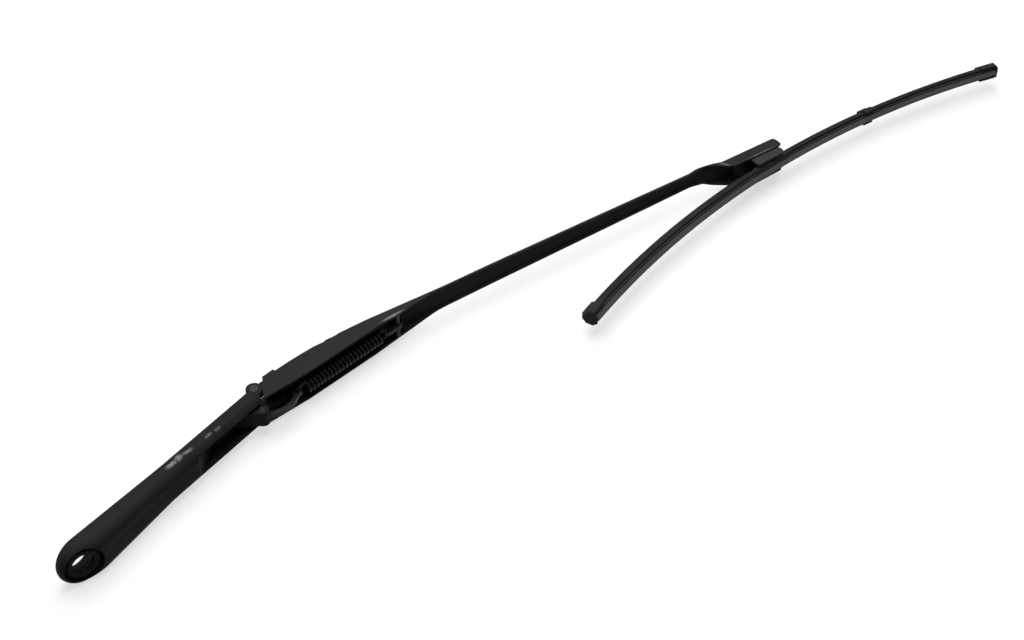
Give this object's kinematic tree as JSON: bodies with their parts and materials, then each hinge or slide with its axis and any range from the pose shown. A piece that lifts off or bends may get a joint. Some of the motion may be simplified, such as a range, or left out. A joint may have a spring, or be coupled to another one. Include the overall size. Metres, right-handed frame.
{
  "type": "windscreen wiper arm with flat blade",
  "caption": "Black windscreen wiper arm with a cast head for the spindle, a sprung hinge, a pressed channel arm and a bowed flat blade that pivots on its tip.",
  "frame": {"origin": "on the spindle axis, where the straight bore of the mounting head begins on the glass side", "axes": "+Z along the spindle axis away from the glass, +X along the arm to the blade, Y across the arm with the middle plane at 0"},
  "size_m": [0.8335, 0.0304, 0.0848],
  "materials": {
    "head_paint": "satin",
    "arm_paint": "satin",
    "pin_steel": "satin",
    "bush_plastic": "matte",
    "link_steel": "satin",
    "spring_steel": "satin",
    "blade_plastic": "matte",
    "tab_plastic": "satin",
    "rail_steel": "satin",
    "wiping_rubber": "matte",
    "spoiler_rubber": "satin"
  },
  "bodies": {
    "head": {"mounting_head": "head_paint", "hinge_pin": "pin_steel", "anchor_pin": "pin_steel"},
    "arm": {"arm": "arm_paint", "hinge_bush_left": "bush_plastic", "hinge_bush_right": "bush_plastic", "spring_post": "pin_steel", "adapter": "blade_plastic"},
    "spring_link": {"spring_link": "link_steel", "tension_spring": "spring_steel"},
    "spring_hook": {"spring_hook": "link_steel"},
    "tab_left": {"release_tab_left": "tab_plastic"},
    "tab_right": {"release_tab_right": "tab_plastic"},
    "blade": {"blade_base": "blade_plastic", "pivot_pin": "pin_steel", "rail_left": "rail_steel", "rail_right": "rail_steel", "wiping_rubber": "wiping_rubber", "spoiler_heel": "spoiler_rubber", "spoiler_toe": "spoiler_rubber", "end_cap_heel": "blade_plastic", "end_cap_toe": "blade_plastic", "blade_clip": "blade_plastic"}
  },
  "joints": [
    {"name": "arm_hinge", "type": "hinge", "parent": "head", "child": "arm", "pos_m": [0.151, 0, 0.0574], "axis": [0, -1, 0], "range_deg": [0, 75], "stiffness_Nm_per_rad": 0.5, "springref_deg": -60.16, "deforming": ["tension_spring"]},
    {"name": "link_swing", "type": "hinge", "parent": "head", "child": "spring_link", "pos_m": [0.149, 0, 0.0444], "axis": [0, -1, 0], "range_deg": [0, 70], "deforming": ["tension_spring"]},
    {"name": "spring_stretch", "type": "slide", "parent": "spring_link", "child": "spring_hook", "axis": [0.9834, 0, 0.1815], "range_m": [0, 0.0095], "deforming": ["tension_spring"]},
    {"name": "blade_pivot", "type": "hinge", "parent": "arm", "child": "blade", "pos_m": [0.587, 0, 0.0595], "axis": [0, -1, 0], "range_deg": [-15, 15]},
    {"name": "release_press_left", "type": "slide", "parent": "arm", "child": "tab_left", "axis": [0, -1, 0], "range_m": [0, 0.001], "stiffness_N_per_m": 1500, "springref_m": -0.0005},
    {"name": "release_press_right", "type": "slide", "parent": "arm", "child": "tab_right", "axis": [0, 1, 0], "range_m": [0, 0.001], "stiffness_N_per_m": 1500, "springref_m": -0.0005}
  ],
  "couplings": [
    {"joint": "link_swing", "follows": "arm_hinge", "ratio": 0.92026},
    {"joint": "spring_stretch", "follows": "arm_hinge", "m_per_rad": 0.0072497}
  ]
}
